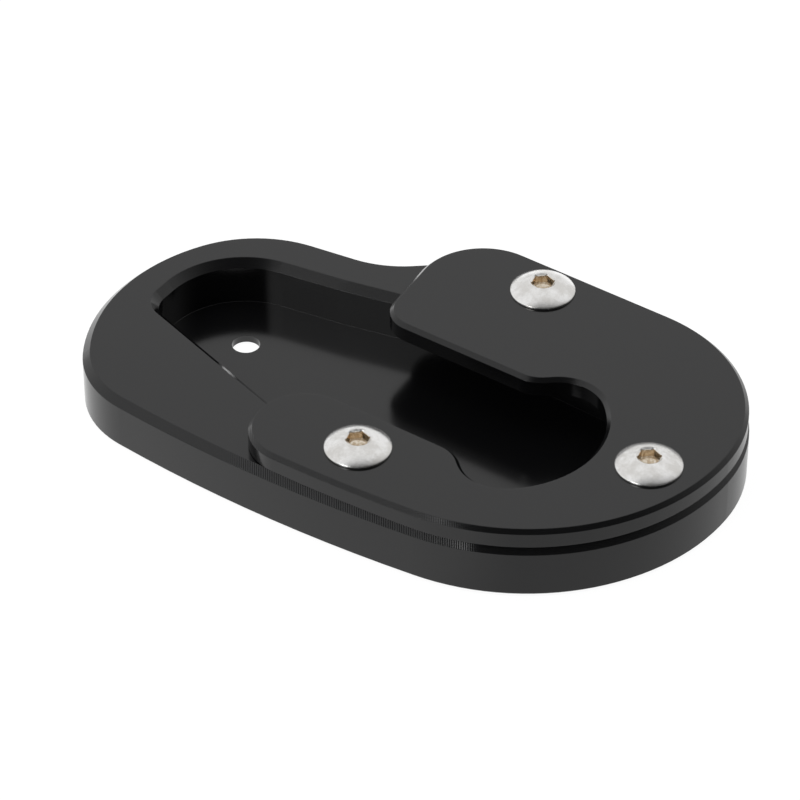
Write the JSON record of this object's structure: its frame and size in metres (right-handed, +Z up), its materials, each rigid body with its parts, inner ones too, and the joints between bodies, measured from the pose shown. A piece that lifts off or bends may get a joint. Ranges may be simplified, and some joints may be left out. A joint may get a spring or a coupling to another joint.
{
  "type": "motorbike side stand foot plate",
  "caption": "Low pocketed plate with a C-shaped clamp screwed to its rim, which fits round a motorbike side stand's foot and spreads its load on soft ground.",
  "frame": {"origin": "on the underside, below the middle of the base plate's outline", "axes": "+Z up from the ground, +X along the clamp's slot towards its closed, keyhole end, +Y towards the side with the waist"},
  "size_m": [0.0966, 0.0602, 0.0135],
  "materials": {
    "black_anodised": "milled and satin black anodised",
    "stainless_steel": "bright turned stainless steel"
  },
  "bodies": {
    "root": {"base_plate": "black_anodised", "clamp_plate": "black_anodised", "screw_far": "stainless_steel", "screw_near": "stainless_steel", "screw_end": "stainless_steel"}
  },
  "joints": []
}
